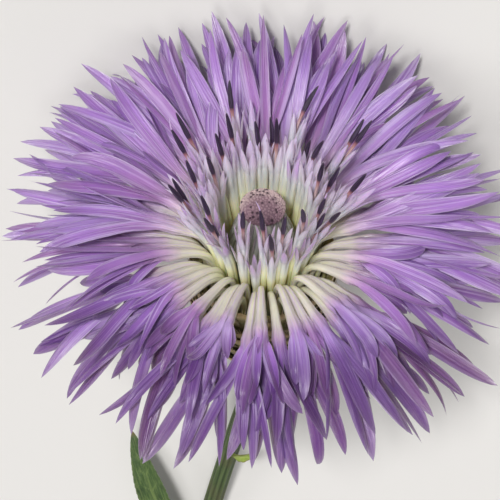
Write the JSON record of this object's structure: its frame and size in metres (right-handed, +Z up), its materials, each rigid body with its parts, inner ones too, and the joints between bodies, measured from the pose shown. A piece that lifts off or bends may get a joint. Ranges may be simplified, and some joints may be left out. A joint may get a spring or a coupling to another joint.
{
  "type": "basket flower",
  "caption": "Picked basket flower lying on its side: mauve fringed ray florets around cream disc florets and a bud dome, on a bracted cup, a curved ribbed stem and a leaf.",
  "frame": {"origin": "on the surface that the flower lies on, under the middle of its bounding box", "axes": "+Z up from that surface; +Y from the cut end of the stem towards the head, which faces along +Y and 25 degrees up; +X to the head's right as the viewer looks down on its face with the stem towards them"},
  "size_m": [0.1166, 0.1646, 0.0818],
  "materials": {
    "stem_green": "matte",
    "leaf_green": "satin",
    "bract_green": "matte",
    "cup_green": "matte",
    "phyllary_straw": "matte",
    "bristle_cream": "matte",
    "bud_mauve": "matte",
    "disc_cream": "satin",
    "petal_mauve": "satin"
  },
  "bodies": {
    "root": {"stem": "stem_green", "stem_leaf": "leaf_green", "bract_leaf": "bract_green", "receptacle_cup": "cup_green", "phyllary_row_1": "phyllary_straw", "phyllary_row_2": "phyllary_straw", "phyllary_row_3": "phyllary_straw", "phyllary_row_4": "phyllary_straw", "phyllary_row_5": "phyllary_straw", "bud_column": "bristle_cream", "bud_dome": "bud_mauve", "disc_floret_01": "disc_cream", "disc_floret_02": "disc_cream", "disc_floret_03": "disc_cream", "disc_floret_04": "disc_cream", "disc_floret_05": "disc_cream", "disc_floret_06": "disc_cream", "disc_floret_07": "disc_cream", "disc_floret_08": "disc_cream", "disc_floret_09": "disc_cream", "disc_floret_10": "disc_cream", "disc_floret_11": "disc_cream", "disc_floret_12": "disc_cream", "disc_floret_13": "disc_cream", "disc_floret_14": "disc_cream", "disc_floret_15": "disc_cream", "disc_floret_16": "disc_cream", "disc_floret_17": "disc_cream", "disc_floret_18": "disc_cream", "ray_floret_lower_01": "petal_mauve", "ray_floret_lower_02": "petal_mauve", "ray_floret_lower_03": "petal_mauve", "ray_floret_lower_04": "petal_mauve", "ray_floret_lower_05": "petal_mauve", "ray_floret_lower_06": "petal_mauve", "ray_floret_lower_07": "petal_mauve", "ray_floret_lower_08": "petal_mauve", "ray_floret_lower_09": "petal_mauve", "ray_floret_lower_10": "petal_mauve", "ray_floret_middle_01": "petal_mauve", "ray_floret_middle_02": "petal_mauve", "ray_floret_middle_03": "petal_mauve", "ray_floret_middle_04": "petal_mauve", "ray_floret_middle_05": "petal_mauve", "ray_floret_middle_06": "petal_mauve", "ray_floret_middle_07": "petal_mauve", "ray_floret_middle_08": "petal_mauve", "ray_floret_middle_09": "petal_mauve", "ray_floret_middle_10": "petal_mauve", "ray_floret_upper_01": "petal_mauve", "ray_floret_upper_02": "petal_mauve", "ray_floret_upper_03": "petal_mauve", "ray_floret_upper_04": "petal_mauve", "ray_floret_upper_05": "petal_mauve", "ray_floret_upper_06": "petal_mauve", "ray_floret_upper_07": "petal_mauve", "ray_floret_upper_08": "petal_mauve", "ray_floret_upper_09": "petal_mauve", "ray_floret_upper_10": "petal_mauve"}
  },
  "joints": []
}
